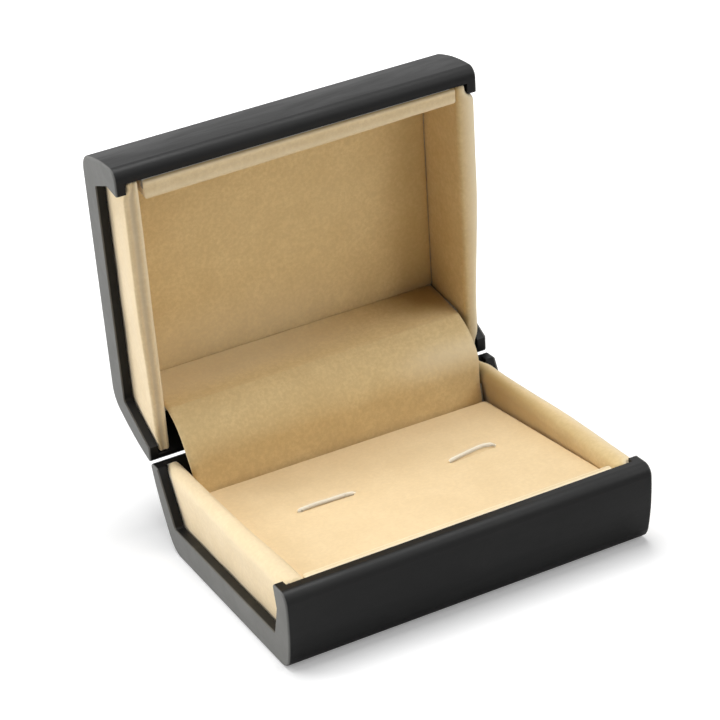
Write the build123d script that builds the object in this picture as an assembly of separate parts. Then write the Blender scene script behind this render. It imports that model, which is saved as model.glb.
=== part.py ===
from build123d import *
import math
import os

# Hinged cufflink display box, standing open.
# Millimetres. X runs along the hinge, -Y is the front, +Z is up.
# The origin is the middle of the flat underside of the base.

# ---------------------------------------------------------------- shells
BOX_WIDTH = 80.0            # along X, end face to end face
BOX_DEPTH = 70.5            # along Y, where the closed box is deepest
SHELL_HEIGHT = 19.0         # flat face to parting edge, each shell
CLOSED_GAP = 0.3            # between the parting edges of the closed box
LID_OPEN_ANGLE = 79.0       # lid opening in the standing pose
FLAT_INSET = 5.5            # how far the flat face stops short of the deepest line
WALL_BULGE = 1.0            # outward bow of the front and rear walls
FLAT_CORNER_RADIUS = 5.0    # between the flat face and the bowed walls
LIP_RADIUS = 2.2            # outer edge of the front lip
REAR_EDGE_RADIUS = 0.8      # outer edge at the hinge
END_EDGE_RADIUS = 0.4       # outer edges of the end faces
PLATE_THICKNESS = 3.0       # flat face to the recess floor
REAR_WALL_TOP = 1.5         # thickness of the rear wall at the parting edge
RECESS_REAR_FOOT = 6.4      # deepest line to the recess floor, at the rear
BASE_LIP = 4.05             # thickness of the base's front lip
LID_LIP = 3.25              # thickness of the lid's front lip
LIP_DEPTH = 9.0             # how far the thick lip reaches from the parting edge
RECESS_FRONT_FOOT = 6.65    # deepest line to the recess floor, at the front
PILOT_CLEARANCE = 0.03      # radial, around the screw shanks

# Thick ribs close both ends of the recess.
RIB_WIDTH = 2.1             # along X
RIB_PLATE = 6.5             # flat face to the rib's inner line
RIB_FRONT_TOP = 5.65        # deepest line to the rib, at the front lip
RIB_FRONT_KNEE = 5.2        # parting edge to the bend in the front rib
RIB_FRONT_FOOT = 9.3        # deepest line to the rib, at the front foot
RIB_REAR_FOOT = 8.35        # deepest line to the rib, at the rear foot
RIB_REAR_TOP = 3.75         # deepest line to the rib, at the rear edge
RIB_CORNER_RADIUS = 0.8

# ---------------------------------------------------------------- lining
VELVET = 0.6                # thickness of the flocked cloth
SEAT_CLEARANCE = 0.15       # lining pieces to the shell walls
BASE_SIDE_CARD = 2.1        # thickness of the card in the base's side panels
LID_SIDE_CARD = 1.2         # thickness of the card in the lid's side panels
RIB_GAP = 0.3               # side panels to the ribs
SIDE_RIM_RADIUS = 1.1       # soft rim of the side panels
SIDE_GAP = 0.2              # side panels to the pieces between them
BASE_FRONT_PANEL = 2.0      # front panel of the base, card and cloth
LID_FRONT_PANEL = 3.1       # front panel of the lid, card and cloth
BASE_FRONT_GAP = 0.6        # base's front panel to the side panels
LID_FRONT_GAP = 1.1         # lid's front panel to the side panels
COVER_GAP = 0.4             # hinge cover to the base's side panels
FRONT_RIM_RADIUS = 0.7
CEILING_BOARD = 0.9
REAR_BOARD = 1.2
BASE_REAR_FACE = 8.65       # deepest line to the face of the base's rear lining
LID_REAR_FACE = 11.25       # deepest line to the face of the lid's rear lining
REAR_BOARD_TOP_GAP = 3.2    # parting edge to the top of the rear boards
COVER_BEND_RADIUS = 11.3    # the hinge cover's bend in the open box
COVER_FOOT = 6.0            # how far down the cover tucks behind the pad

# ------------------------------------------------------------------- pad
PAD_REAR_HEIGHT = 12.5      # top of the pad above the underside, at the rear
PAD_SLOPE = 4.1             # degrees, rising to the front
PAD_THICKNESS = 6.0         # foam and cloth
PAD_EDGE_RADIUS = 1.2
PAD_WRAP = 4.0              # how far the cloth turns down over the pad's edges
PAD_GAP = 0.3               # pad to the panels round it
PAD_BOARD = 1.5
RISER_CARD = 1.2
RISER_INSET = 3.0           # riser walls from the pad board's edges
SLIT_LENGTH = 13.0
SLIT_WIDTH = 1.0
SLIT_CENTRES = (-14.7, 18.4)
SLIT_FROM_REAR = 23.1       # pad's rear edge to the slits

# ---------------------------------------------------------------- hinges
HINGE_SPACING = 40.0        # centre to centre
HINGE_WIDTH = 14.0
LEAF_THICKNESS = 0.8
LEAF_LENGTH = 10.0          # height of the leaf's plate
LEAF_DROP = 2.0             # parting edge to the top of the plate
KNUCKLE_RADIUS = 1.25
NECK_DROP = 1.1             # axis to the neck where it meets the knuckle
PIN_RADIUS = 0.65
AXIS_INSET = 0.25           # deepest line to the hinge axis
PIN_PLAY = 0.05             # radial, in the lid's knuckle
PIN_HOLD = 0.02             # radial, in the base's knuckles
LID_KNUCKLE_LENGTH = 5.0
KNUCKLE_GAP = 0.25          # between neighbouring knuckles
NOTCH_DEPTH = 2.6           # cut in the shells' rear edges round each hinge
NOTCH_SIDE = 0.4
SPRING_WIDTH = 4.0
SPRING_THICKNESS = 0.35
SPRING_BEND_RADIUS = 6.0
SPRING_REACH = 9.0          # along each leaf from the spring's bend
SCREW_SPACING = 9.0
SCREW_DROP = 8.0            # parting edge to the screws
SCREW_RADIUS = 0.7
SCREW_HEAD_RADIUS = 1.3
SCREW_HEAD = 0.7
SCREW_BITE = 1.6            # depth in the shell wall
LEAF_HOLE_CLEARANCE = 0.1

# ---------------------------------------------------------- derived places
HALF_WIDTH = BOX_WIDTH / 2
HALF_DEPTH = BOX_DEPTH / 2
PARTING_MIDDLE = SHELL_HEIGHT + CLOSED_GAP / 2
HINGE_Y = HALF_DEPTH - AXIS_INSET
HINGE_AXIS = Axis((0, HINGE_Y, PARTING_MIDDLE), (1, 0, 0))
RECESS_HALF = HALF_WIDTH - RIB_WIDTH
PANEL_OUTER = RECESS_HALF - RIB_GAP
BASE_INNER = PANEL_OUTER - BASE_SIDE_CARD - 2 * VELVET
LID_INNER = PANEL_OUTER - LID_SIDE_CARD - 2 * VELVET
HINGE_CENTRES = (-HINGE_SPACING / 2, HINGE_SPACING / 2)
LEAF_TOP = SHELL_HEIGHT - LEAF_DROP
LEAF_FOOT = LEAF_TOP - LEAF_LENGTH
SCREW_HEIGHT = SHELL_HEIGHT - SCREW_DROP
FAR = 3 * BOX_DEPTH         # past everything


# --------------------------------------------------------------- helpers
def prism(section, low, high):
    """A YZ section drawn out along X from low to high."""
    placed = Plane.YZ.offset(low) * section
    return extrude(placed, amount=high - low, dir=(1, 0, 0))


def polygon(points):
    return make_face(Polyline(*points, close=True))


def on_lid(shape):
    """Carries a piece drawn in a base shell over to the open lid."""
    closed = mirror(shape, about=Plane.XY.offset(PARTING_MIDDLE))
    return closed.rotate(HINGE_AXIS, -LID_OPEN_ANGLE)


def lid_point(y, z):
    """Where a point of the closed lid's section stands in the open box."""
    turn = math.radians(-LID_OPEN_ANGLE)
    dy = y - HINGE_Y
    dz = z - PARTING_MIDDLE
    return (
        HINGE_Y + dy * math.cos(turn) - dz * math.sin(turn),
        PARTING_MIDDLE + dy * math.sin(turn) + dz * math.cos(turn),
    )


def meeting(first, first_way, second, second_way):
    """Point where two lines of the YZ section cross."""
    cross = first_way[0] * second_way[1] - first_way[1] * second_way[0]
    dy = second[0] - first[0]
    dz = second[1] - first[1]
    step = (dy * second_way[1] - dz * second_way[0]) / cross
    return (first[0] + step * first_way[0], first[1] + step * first_way[1])


def bent_strip(start, corner, end, radius, thickness):
    """Section of a sheet that follows start, corner and end, and turns right."""
    in_way = Vector(corner[0] - start[0], corner[1] - start[1]).normalized()
    out_way = Vector(end[0] - corner[0], end[1] - corner[1]).normalized()
    in_side = (in_way.Y * thickness, -in_way.X * thickness)
    out_side = (out_way.Y * thickness, -out_way.X * thickness)
    back_start = (start[0] + in_side[0], start[1] + in_side[1])
    back_end = (end[0] + out_side[0], end[1] + out_side[1])
    back_corner = meeting(back_start, (in_way.X, in_way.Y), back_end, (out_way.X, out_way.Y))
    face_line = FilletPolyline(start, corner, end, radius=radius)
    back_line = FilletPolyline(back_start, back_corner, back_end, radius=radius - thickness)
    caps = [Line(start, back_start), Line(end, back_end)]
    return make_face(face_line.edges() + back_line.edges() + caps)


def slab(points, low, high):
    return prism(polygon(points), low, high)


def save(name, shape):
    export_step(shape, f"parts/{name}.step")


# ---------------------------------------------------------------- shells
def wall_bow(side):
    """Bowed wall from the flat face to the parting edge; side is -1 or 1."""
    foot = (side * (HALF_DEPTH - FLAT_INSET), 0)
    top = (side * HALF_DEPTH, SHELL_HEIGHT)
    middle = (side * (HALF_DEPTH - FLAT_INSET / 2 + WALL_BULGE), SHELL_HEIGHT / 2)
    return ThreePointArc(foot, middle, top)


def outer_section():
    flat = HALF_DEPTH - FLAT_INSET
    outline = [
        Line((-flat, 0), (flat, 0)),
        wall_bow(1),
        Line((HALF_DEPTH, SHELL_HEIGHT), (-HALF_DEPTH, SHELL_HEIGHT)),
        wall_bow(-1),
    ]
    section = make_face(outline)
    by_height = section.vertices().group_by(Axis.Y)
    section = fillet(by_height[0], FLAT_CORNER_RADIUS)
    parting = section.vertices().group_by(Axis.Y)[-1].sort_by(Axis.X)
    section = fillet(parting[0], LIP_RADIUS)
    rear = section.vertices().group_by(Axis.Y)[-1].sort_by(Axis.X)[-1]
    return fillet(rear, REAR_EDGE_RADIUS)


def rib_section():
    """Opening between the ribs' inner lines, past the parting edge."""
    knee = SHELL_HEIGHT - RIB_FRONT_KNEE
    rear_lean = (RIB_REAR_FOOT - RIB_REAR_TOP) / (SHELL_HEIGHT - RIB_PLATE)
    past = SHELL_HEIGHT + LIP_DEPTH
    rear_past = HALF_DEPTH - RIB_REAR_TOP + rear_lean * LIP_DEPTH
    section = polygon(
        [
            (-HALF_DEPTH + RIB_FRONT_TOP, past),
            (-HALF_DEPTH + RIB_FRONT_TOP, knee),
            (-HALF_DEPTH + RIB_FRONT_FOOT, RIB_PLATE),
            (HALF_DEPTH - RIB_REAR_FOOT, RIB_PLATE),
            (rear_past, past),
        ]
    )
    return fillet(section.vertices().group_by(Axis.Y)[0], RIB_CORNER_RADIUS)


def rear_wall_y(z):
    """Inner face of the rear wall, behind the lining."""
    rise = (z - PLATE_THICKNESS) / (SHELL_HEIGHT - PLATE_THICKNESS)
    return HALF_DEPTH - RECESS_REAR_FOOT + rise * (RECESS_REAR_FOOT - REAR_WALL_TOP)


def front_wall_y(z, lip):
    """Inner face of the front wall, for a thickness of the lip."""
    bend = SHELL_HEIGHT - LIP_DEPTH
    rise = min(1, (z - PLATE_THICKNESS) / (bend - PLATE_THICKNESS))
    return -HALF_DEPTH + RECESS_FRONT_FOOT - rise * (RECESS_FRONT_FOOT - lip)


def recess_outline(top, lip, clearance=0):
    """Outline of the recess up to a height, drawn in by a clearance."""
    bend = SHELL_HEIGHT - LIP_DEPTH
    return [
        (front_wall_y(top, lip) + clearance, top),
        (front_wall_y(bend, lip) + clearance, bend),
        (front_wall_y(PLATE_THICKNESS, lip) + clearance, PLATE_THICKNESS),
        (rear_wall_y(PLATE_THICKNESS) - clearance, PLATE_THICKNESS),
        (rear_wall_y(top) - clearance, top),
    ]


def hinge_notch(centre):
    half = HINGE_WIDTH / 2 + NOTCH_SIDE
    floor = SHELL_HEIGHT - NOTCH_DEPTH
    inner = rear_wall_y(floor) - 2 * LEAF_THICKNESS
    points = [
        (inner, floor),
        (HALF_DEPTH + FLAT_INSET, floor),
        (HALF_DEPTH + FLAT_INSET, FAR),
        (inner, FAR),
    ]
    return slab(points, centre - half, centre + half)


def wall_plane(x, z):
    """Plane on the rear wall's inner face, its normal into the box."""
    foot = Vector(0, rear_wall_y(PLATE_THICKNESS), PLATE_THICKNESS)
    top = Vector(0, rear_wall_y(SHELL_HEIGHT), SHELL_HEIGHT)
    along = (top - foot).normalized()
    normal = Vector(1, 0, 0).cross(along)
    if normal.Y > 0:
        normal = -normal
    return Plane(origin=(x, rear_wall_y(z), z), x_dir=(1, 0, 0), z_dir=normal)


def screw_places():
    places = []
    for centre in HINGE_CENTRES:
        for side in (-1, 1):
            places.append(wall_plane(centre + side * SCREW_SPACING / 2, SCREW_HEIGHT))
    return places


def shell(lip):
    body = prism(outer_section(), -HALF_WIDTH, HALF_WIDTH)
    body = fillet(body.faces().filter_by(Axis.X).edges(), END_EDGE_RADIUS)
    body -= prism(rib_section(), -HALF_WIDTH, HALF_WIDTH)
    recess = recess_outline(SHELL_HEIGHT + CLOSED_GAP, lip)
    body -= slab(recess, -RECESS_HALF, RECESS_HALF)
    for centre in HINGE_CENTRES:
        body -= hinge_notch(centre)
    for place in screw_places():
        hole = Cylinder(SCREW_RADIUS + PILOT_CLEARANCE, 2 * SCREW_BITE)
        body -= place * hole
    return body


# ---------------------------------------------------------------- panels
def side_panel(side, inner, lip):
    """Card and cloth of one side panel; side is -1 or 1."""
    card_outline = recess_outline(SHELL_HEIGHT - VELVET, lip, SEAT_CLEARANCE)
    card = slab(card_outline, inner + VELVET, PANEL_OUTER - VELVET)
    cloth = slab(recess_outline(SHELL_HEIGHT, lip, SEAT_CLEARANCE), inner, PANEL_OUTER)
    rim = cloth.edges().filter_by(Axis.Y).group_by(Axis.Z)[-1]
    cloth = fillet(rim, SIDE_RIM_RADIUS) - card
    if side < 0:
        card = mirror(card, about=Plane.YZ)
        cloth = mirror(cloth, about=Plane.YZ)
    return card, cloth


def front_panel(half, thickness, foot, lip):
    """Card and cloth behind the front lip; the cloth reaches down to the foot."""
    bend = SHELL_HEIGHT - LIP_DEPTH
    outer = front_wall_y(bend, lip) + SEAT_CLEARANCE
    inner = outer + thickness
    card_inner = inner - VELVET
    card_top = SHELL_HEIGHT - VELVET
    card = slab(
        [(outer, bend), (card_inner, bend), (card_inner, card_top), (outer, card_top)],
        -half,
        half,
    )
    room = slab(recess_outline(SHELL_HEIGHT, lip, SEAT_CLEARANCE), -half, half)
    reach = slab([(-FAR, foot), (inner, foot), (inner, FAR), (-FAR, FAR)], -half, half)
    cloth = room & reach
    rim = cloth.edges().filter_by(Axis.X).group_by(Axis.Z)[-1]
    inner_rim = rim.sort_by(Axis.Y)[-1]
    return card, fillet(inner_rim, FRONT_RIM_RADIUS) - card


def rear_board(half, face):
    """Card behind the rear lining, standing on the recess floor."""
    front = HALF_DEPTH - face + VELVET
    top = SHELL_HEIGHT - REAR_BOARD_TOP_GAP
    return slab(
        [
            (front, PLATE_THICKNESS),
            (front + REAR_BOARD, PLATE_THICKNESS),
            (front + REAR_BOARD, top),
            (front, top),
        ],
        -half,
        half,
    )


def ceiling():
    """Card and cloth sheet on the lid's recess floor."""
    half = LID_INNER - SIDE_GAP
    card_top = PLATE_THICKNESS + CEILING_BOARD
    cloth_top = card_top + VELVET
    front = front_wall_y(PLATE_THICKNESS, LID_LIP) + SEAT_CLEARANCE
    rear = HALF_DEPTH - LID_REAR_FACE
    card = slab(
        [(front, PLATE_THICKNESS), (rear, PLATE_THICKNESS), (rear, card_top), (front, card_top)],
        -half,
        half,
    )
    cloth = slab(
        [(front, card_top), (rear, card_top), (rear, cloth_top), (front, cloth_top)],
        -half,
        half,
    )
    return card, cloth


def hinge_cover():
    """Cloth strip over the hinges, from behind the pad to the lid's ceiling."""
    base_face = HALF_DEPTH - BASE_REAR_FACE
    lid_face = HALF_DEPTH - LID_REAR_FACE
    ceiling_height = PLATE_THICKNESS + CEILING_BOARD + VELVET
    start = (base_face, COVER_FOOT)
    end = lid_point(lid_face, 2 * PARTING_MIDDLE - ceiling_height)
    bend = lid_point(lid_face, PARTING_MIDDLE)
    way = (end[0] - bend[0], end[1] - bend[1])
    corner = meeting(start, (0, 1), bend, way)
    section = bent_strip(start, corner, end, COVER_BEND_RADIUS, VELVET)
    half = BASE_INNER - COVER_GAP
    return prism(section, -half, half)


# ------------------------------------------------------------------- pad
PAD_REAR = HALF_DEPTH - BASE_REAR_FACE - PAD_GAP
PAD_FRONT = -HALF_DEPTH + BASE_LIP + SEAT_CLEARANCE + BASE_FRONT_PANEL + PAD_GAP
SLOPE_SINE = math.sin(math.radians(PAD_SLOPE))
SLOPE_COSINE = math.cos(math.radians(PAD_SLOPE))
PAD_PLANE = Plane(
    origin=(0, PAD_REAR, PAD_REAR_HEIGHT),
    x_dir=(1, 0, 0),
    z_dir=(0, SLOPE_SINE, SLOPE_COSINE),
)
PAD_LEAN = (PAD_THICKNESS + PAD_BOARD) * SLOPE_SINE
PAD_LENGTH = (PAD_REAR - PAD_FRONT - PAD_LEAN) / SLOPE_COSINE
PAD_WIDTH = 2 * (BASE_INNER - PAD_GAP)


def pad_block(width, length, top, bottom):
    """Block in the pad's plane; top and bottom are depths below its surface."""
    block = Box(width, length, bottom - top)
    return PAD_PLANE * Pos(0, -PAD_LENGTH / 2, -(top + bottom) / 2) * block


def pad_slits(width, depth):
    """Cutters for the slits, from above the pad's surface to a depth."""
    cutters = []
    for centre in SLIT_CENTRES:
        slot = extrude(SlotOverall(SLIT_LENGTH, width), amount=depth + VELVET)
        cutters.append(PAD_PLANE * Pos(centre, -SLIT_FROM_REAR, -depth) * slot)
    return cutters


def pad():
    """Foam, cloth and card of the display pad."""
    full = pad_block(PAD_WIDTH, PAD_LENGTH, 0, PAD_THICKNESS)
    top_face = full.faces().sort_by(Axis.Z)[-1]
    soft = fillet(top_face.edges(), PAD_EDGE_RADIUS)
    core_width = PAD_WIDTH - 2 * VELVET
    core_length = PAD_LENGTH - 2 * VELVET
    core = pad_block(core_width, core_length, VELVET, PAD_THICKNESS)
    core_top = core.faces().sort_by(Axis.Z)[-1]
    foam = fillet(core_top.edges(), PAD_EDGE_RADIUS - VELVET / 2)
    cloth = soft - foam
    cloth -= pad_block(2 * PAD_WIDTH, 2 * PAD_LENGTH, PAD_WRAP, 2 * PAD_THICKNESS)
    for cutter in pad_slits(SLIT_WIDTH, PAD_THICKNESS):
        foam -= cutter
        cloth -= cutter
    card = pad_block(core_width, core_length, PAD_THICKNESS, PAD_THICKNESS + PAD_BOARD)
    return foam, cloth, card


def pad_riser():
    """Folded card under the pad: a floor strip and an upright wall at each end."""
    slope = SLOPE_SINE / SLOPE_COSINE
    drop = (PAD_THICKNESS + PAD_BOARD) / SLOPE_COSINE
    rear = PAD_REAR - RISER_INSET
    front = PAD_FRONT + RISER_INSET

    def underside(y):
        return PAD_REAR_HEIGHT - drop + (PAD_REAR - y) * slope

    floor = PLATE_THICKNESS
    fold = floor + RISER_CARD
    outline = [
        (front, floor),
        (rear, floor),
        (rear, underside(rear)),
        (rear - RISER_CARD, underside(rear - RISER_CARD)),
        (rear - RISER_CARD, fold),
        (front + RISER_CARD, fold),
        (front + RISER_CARD, underside(front + RISER_CARD)),
        (front, underside(front)),
    ]
    half = PAD_WIDTH / 2 - RISER_INSET
    return slab(outline, -half, half)


# ---------------------------------------------------------------- hinges
def knuckle_spans(centre):
    """X spans of the base's two knuckles and of the lid's one."""
    inner = LID_KNUCKLE_LENGTH / 2
    outer = HINGE_WIDTH / 2
    base = [
        (centre - outer, centre - inner - KNUCKLE_GAP),
        (centre + inner + KNUCKLE_GAP, centre + outer),
    ]
    return base, [(centre - inner, centre + inner)]


def pin_bar(radius, low, high):
    bar = Cylinder(radius, high - low, rotation=(0, 90, 0))
    return Pos((low + high) / 2, HINGE_Y, PARTING_MIDDLE) * bar


def leaf(centre, spans, play):
    """Leaf drawn in the base: plate on the rear wall, necks and knuckles."""
    half = HINGE_WIDTH / 2
    foot_y = rear_wall_y(LEAF_FOOT)
    top_y = rear_wall_y(LEAF_TOP)
    plate = slab(
        [
            (foot_y - LEAF_THICKNESS, LEAF_FOOT),
            (foot_y, LEAF_FOOT),
            (top_y, LEAF_TOP),
            (top_y - LEAF_THICKNESS, LEAF_TOP),
        ],
        centre - half,
        centre + half,
    )
    neck = [
        (top_y - LEAF_THICKNESS, LEAF_TOP),
        (top_y, LEAF_TOP),
        (HINGE_Y, PARTING_MIDDLE - NECK_DROP),
        (HINGE_Y - NECK_DROP, PARTING_MIDDLE),
    ]
    for low, high in spans:
        plate += slab(neck, low, high)
        plate += pin_bar(KNUCKLE_RADIUS, low, high)
    plate -= pin_bar(PIN_RADIUS + play, centre - half, centre + half)
    for place in screw_places():
        plate -= place * Cylinder(SCREW_RADIUS + LEAF_HOLE_CLEARANCE, 4 * LEAF_THICKNESS)
    return plate


def hinge_spring(centre):
    """Flat spring that lies on both leaves and bends past the knuckles."""
    along = wall_plane(0, PARTING_MIDDLE).y_dir
    way = (along.Y, along.Z)
    inner_y = rear_wall_y(PARTING_MIDDLE) - LEAF_THICKNESS
    lid_way_end = lid_point(inner_y + way[0], PARTING_MIDDLE - way[1])
    lid_inner = lid_point(inner_y, PARTING_MIDDLE)
    lid_way = (lid_way_end[0] - lid_inner[0], lid_way_end[1] - lid_inner[1])
    face = SPRING_THICKNESS / way[1]
    base_line = (inner_y - face, PARTING_MIDDLE)
    lid_line = lid_point(inner_y - face, PARTING_MIDDLE)
    corner = meeting(base_line, way, lid_line, lid_way)
    start = (corner[0] - SPRING_REACH * way[0], corner[1] - SPRING_REACH * way[1])
    end = (corner[0] - SPRING_REACH * lid_way[0], corner[1] - SPRING_REACH * lid_way[1])
    section = bent_strip(start, corner, end, SPRING_BEND_RADIUS, SPRING_THICKNESS)
    return prism(section, centre - SPRING_WIDTH / 2, centre + SPRING_WIDTH / 2)


def hinge_screws():
    screws = []
    for place in screw_places():
        length = SCREW_BITE + LEAF_THICKNESS
        shank = Pos(0, 0, LEAF_THICKNESS - length / 2) * Cylinder(SCREW_RADIUS, length)
        head = Pos(0, 0, LEAF_THICKNESS + SCREW_HEAD / 2) * Cylinder(SCREW_HEAD_RADIUS, SCREW_HEAD)
        screws.append(place * (shank + head))
    return Compound(children=screws)


# -------------------------------------------------------------- assembly
def main():
    os.makedirs("parts", exist_ok=True)
    save("base_shell", shell(BASE_LIP))
    save("lid_shell", on_lid(shell(LID_LIP)))

    for side, word in ((-1, "left"), (1, "right")):
        card, cloth = side_panel(side, BASE_INNER, BASE_LIP)
        save(f"base_{word}_panel_card", card)
        save(f"base_{word}_panel_velvet", cloth)
        card, cloth = side_panel(side, LID_INNER, LID_LIP)
        save(f"lid_{word}_panel_card", on_lid(card))
        save(f"lid_{word}_panel_velvet", on_lid(cloth))

    half = BASE_INNER - BASE_FRONT_GAP
    foot = SHELL_HEIGHT - LIP_DEPTH
    card, cloth = front_panel(half, BASE_FRONT_PANEL, foot, BASE_LIP)
    save("base_front_panel_card", card)
    save("base_front_panel_velvet", cloth)
    half = LID_INNER - LID_FRONT_GAP
    foot = PLATE_THICKNESS + CEILING_BOARD + VELVET
    card, cloth = front_panel(half, LID_FRONT_PANEL, foot, LID_LIP)
    save("lid_front_panel_card", on_lid(card))
    save("lid_front_panel_velvet", on_lid(cloth))

    base_rear = rear_board(BASE_INNER - SIDE_GAP, BASE_REAR_FACE)
    lid_rear = rear_board(LID_INNER - SIDE_GAP, LID_REAR_FACE)
    save("base_rear_card", base_rear)
    save("lid_rear_card", on_lid(lid_rear))
    card, cloth = ceiling()
    save("lid_ceiling_card", on_lid(card))
    save("lid_ceiling_velvet", on_lid(cloth))
    save("hinge_cover", hinge_cover())

    foam, cloth, card = pad()
    save("pad_foam", foam)
    save("pad_velvet", cloth)
    save("pad_card", card)
    save("pad_riser", pad_riser())

    for centre, word in zip(HINGE_CENTRES, ("left", "right")):
        base_spans, lid_spans = knuckle_spans(centre)
        save(f"{word}_hinge_base_leaf", leaf(centre, base_spans, PIN_HOLD))
        save(f"{word}_hinge_lid_leaf", on_lid(leaf(centre, lid_spans, PIN_PLAY)))
        half = HINGE_WIDTH / 2
        save(f"{word}_hinge_pin", pin_bar(PIN_RADIUS, centre - half, centre + half))
        save(f"{word}_hinge_spring", hinge_spring(centre))
    screws = hinge_screws()
    save("base_hinge_screws", screws)
    save("lid_hinge_screws", on_lid(screws))


main()
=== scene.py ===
import math

import bmesh
import bpy
from mathutils import Matrix, Vector, noise


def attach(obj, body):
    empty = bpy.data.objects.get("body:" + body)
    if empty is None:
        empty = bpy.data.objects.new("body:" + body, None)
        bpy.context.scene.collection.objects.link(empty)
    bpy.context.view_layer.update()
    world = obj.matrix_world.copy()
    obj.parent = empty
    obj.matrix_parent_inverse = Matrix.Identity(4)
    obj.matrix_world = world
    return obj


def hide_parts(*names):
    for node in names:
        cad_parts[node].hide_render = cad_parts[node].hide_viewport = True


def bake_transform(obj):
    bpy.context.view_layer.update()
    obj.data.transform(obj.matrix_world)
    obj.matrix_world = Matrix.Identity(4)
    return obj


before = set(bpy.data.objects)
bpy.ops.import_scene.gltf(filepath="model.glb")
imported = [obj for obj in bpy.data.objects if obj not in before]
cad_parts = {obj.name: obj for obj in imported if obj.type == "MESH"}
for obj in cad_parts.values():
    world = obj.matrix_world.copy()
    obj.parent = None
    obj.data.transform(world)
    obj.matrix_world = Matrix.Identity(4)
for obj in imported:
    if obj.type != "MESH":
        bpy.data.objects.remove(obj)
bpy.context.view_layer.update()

# Cufflink box, standing open. Lengths are millimetres until piece() finishes
# a mesh. X runs along the hinge, -Y is the front, +Z is up. Lid pieces are
# modelled as if they lay in a base shell, and onto_lid() carries them over.
MM = 0.001
LID_OPEN = math.radians(79)
HINGE_Y = 35.0
SHELL_TOP = 19.0
PARTING = 19.15             # middle of the closed gap
FLOOR_TOP = 3.0             # recess floor of either shell
FLOOR_FRONT = -28.6         # the recess floor's front and rear edges
FLOOR_REAR = 28.85
FRONT_LEAN = 6.65           # floor's front edge to the shell's deepest line
REAR_LEAN = 4.9             # of the rear wall, floor to parting edge
LIP_BEND = 10.0             # where the front wall turns upright
BASE_LIP = 4.05             # thickness of the shells' front lips
LID_LIP = 3.25
SEAT = 0.15                 # lining to shell wall

# The ribs' inner lines frame the opening at each end of the box.
RIB_FRONT = -29.6
RIB_FRONT_LEAN = 3.65       # from the knee down to the foot
RIB_KNEE = 13.8
RIB_KNEE_RISE = 7.3         # foot to knee
RIB_REAR = 31.5             # at the parting edge
RIB_REAR_LEAN = 4.6
RIB_REAR_RISE = 12.5        # foot to parting edge
RIB_FOOT = 6.5

# Side panels.
PANEL_OUTER = 37.6
PANEL_FOOT_GAP = 0.05
BASE_INNER = 34.3           # inner face of each panel
LID_LEFT_INNER = 35.2
LID_RIGHT_INNER = 34.9

# Hinge cover: up behind the pad, round the hinges and on along the lid.
COVER_HALF = 33.9
COVER_FACE = 26.6
COVER_FOOT = 6.0
COVER_BEND = (37.9, 19.41, 11.3)    # y, z and radius
COVER_LID_START = (35.74, 30.5)     # y and z where it leaves the bend
COVER_LID_END = (47.28, 32.74)

# Display pad.
PAD_TILT = math.radians(4.1)
PAD_REAR = (26.3, 12.5)     # y and z of the pad's rear top edge
PAD_HALF = 34.0
PAD_LENGTH = 54.65
PAD_WRAP = 4.0              # cloth turned down over the edges
PAD_EDGE = 1.2              # radius
PAD_STRETCH = 0.4           # cloth pulled out towards the right panel
FOAM_INSET = 0.6
FOAM_SINK = 0.75            # foam's top below the cloth's
FOAM_DEPTH = 5.2

HINGE_CENTRE = 20.0


# ---- small tools
def smooth(low, high, value):
    """0 before low, 1 after high, eased between."""
    t = min(1.0, max(0.0, (value - low) / (high - low)))
    return t * t * (3 - 2 * t)


def bump(middle, width, value):
    """A soft ridge of height 1 at the middle."""
    return math.exp(-(((value - middle) / width) ** 2))


def drift(point, scale, seed):
    """Slow unevenness of hand-laid cloth, from about -1 to 1."""
    place = Vector(point) * scale + Vector((seed * 7.3, seed * 3.1, seed * 5.7))
    return noise.noise(place) + 0.4 * noise.noise(place * 2.3)


def front_wall(z, lip):
    """Where a lining meets the front wall, at a height."""
    rise = min(1.0, (z - FLOOR_TOP) / (LIP_BEND - FLOOR_TOP))
    return FLOOR_FRONT - rise * (FRONT_LEAN - lip) + SEAT


def rear_wall(z):
    """Where a lining meets the rear wall, at a height."""
    return FLOOR_REAR + (z - FLOOR_TOP) / (SHELL_TOP - FLOOR_TOP) * REAR_LEAN - SEAT


def onto_lid():
    """Carries a piece modelled in a base shell over to the open lid."""
    to_middle = Matrix.Translation((0, 0, 2 * PARTING))
    mirrored = to_middle @ Matrix.Scale(-1, 4, (0, 0, 1))
    axis = Matrix.Translation((0, HINGE_Y, PARTING))
    return axis @ Matrix.Rotation(-LID_OPEN, 4, "X") @ axis.inverted() @ mirrored


def onto_pad():
    """Carries the pad's own plane, rear edge at y 0, to its place."""
    place = Matrix.Translation((0, PAD_REAR[0], PAD_REAR[1]))
    return place @ Matrix.Rotation(-PAD_TILT, 4, "X")


def new_box(size, middle):
    bm = bmesh.new()
    bmesh.ops.create_cube(bm, size=1.0)
    bmesh.ops.scale(bm, vec=size, verts=bm.verts)
    bmesh.ops.translate(bm, vec=middle, verts=bm.verts)
    return bm


def new_grid(columns, rows, x_span, y_span, height=0.0):
    """A flat grid between two x and two y values."""
    bm = bmesh.new()
    bmesh.ops.create_grid(bm, x_segments=columns, y_segments=rows, size=1.0)
    half = ((x_span[1] - x_span[0]) / 2, (y_span[1] - y_span[0]) / 2, 1)
    bmesh.ops.scale(bm, vec=half, verts=bm.verts)
    middle = ((x_span[0] + x_span[1]) / 2, (y_span[0] + y_span[1]) / 2, height)
    bmesh.ops.translate(bm, vec=middle, verts=bm.verts)
    return bm


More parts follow.
